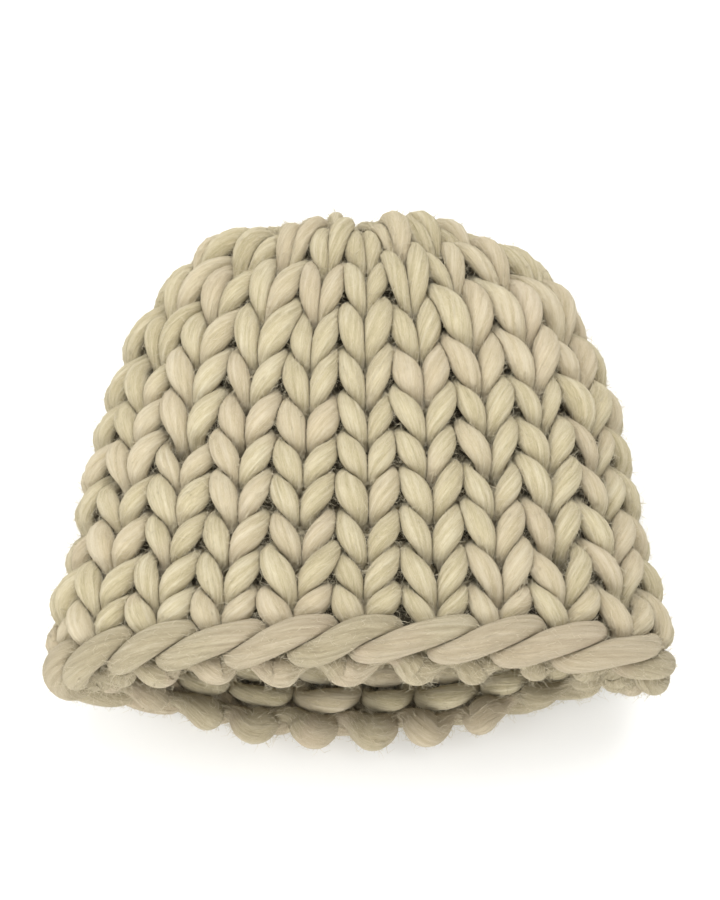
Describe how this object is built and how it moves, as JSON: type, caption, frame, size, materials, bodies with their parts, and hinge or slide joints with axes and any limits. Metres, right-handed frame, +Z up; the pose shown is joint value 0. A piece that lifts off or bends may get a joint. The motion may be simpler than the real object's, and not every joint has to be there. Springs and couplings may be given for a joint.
{
  "type": "knit beanie",
  "caption": "Chunky hand-knit wool beanie lying on its back, with a rolled cast-on brim, stocking stitch rounds and a gathered crown.",
  "frame": {"origin": "on the surface the hat lies on, under the middle of its width and length", "axes": "+Y runs from the head opening to the crown, +Z is up out of the front of the hat, +X is across it"},
  "size_m": [0.2424, 0.2004, 0.1144],
  "materials": {
    "wool_cast_on": "matte",
    "wool_knit": "matte",
    "wool_gathering_yarn": "matte"
  },
  "bodies": {
    "root": {"cast_on_edge": "wool_cast_on", "knit_round_01": "wool_knit", "knit_round_02": "wool_knit", "knit_round_03": "wool_knit", "knit_round_04": "wool_knit", "knit_round_05": "wool_knit", "knit_round_06": "wool_knit", "knit_round_07": "wool_knit", "knit_round_08": "wool_knit", "knit_round_09": "wool_knit", "knit_round_10": "wool_knit", "knit_round_11": "wool_knit", "gathering_yarn": "wool_gathering_yarn"}
  },
  "joints": []
}
